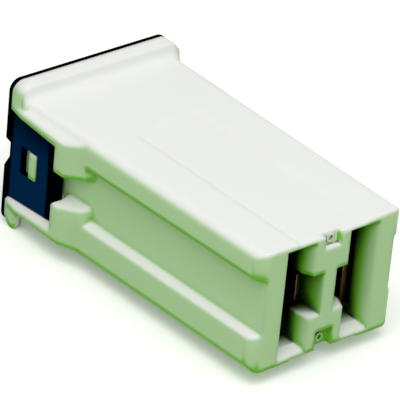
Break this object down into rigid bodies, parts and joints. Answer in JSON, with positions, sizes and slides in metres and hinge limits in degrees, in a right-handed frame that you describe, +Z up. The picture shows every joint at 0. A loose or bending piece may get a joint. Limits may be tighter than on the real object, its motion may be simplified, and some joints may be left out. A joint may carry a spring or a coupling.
{
  "type": "fusible link",
  "caption": "Push-on cartridge fusible link with a drafted plastic housing, a clip-on end cover with latched side tabs, and open blade sockets at the far end.",
  "frame": {"origin": "middle of the box round the part, on the surface that its flange rests on", "axes": "+X from the cover to the open socket end, +Y across the two sockets, +Z up through the thickness"},
  "size_m": [0.0304, 0.0168, 0.013],
  "materials": {
    "housing_plastic": "fine satin moulded surface, pale green",
    "cover_plastic": "smooth moulded surface, dark blue",
    "copper_alloy": "stamped strip, bright copper alloy",
    "tin": "dull tin"
  },
  "bodies": {
    "root": {"housing": "housing_plastic", "cover": "cover_plastic", "fuse_element": "copper_alloy", "tin_chip": "tin"}
  },
  "joints": []
}
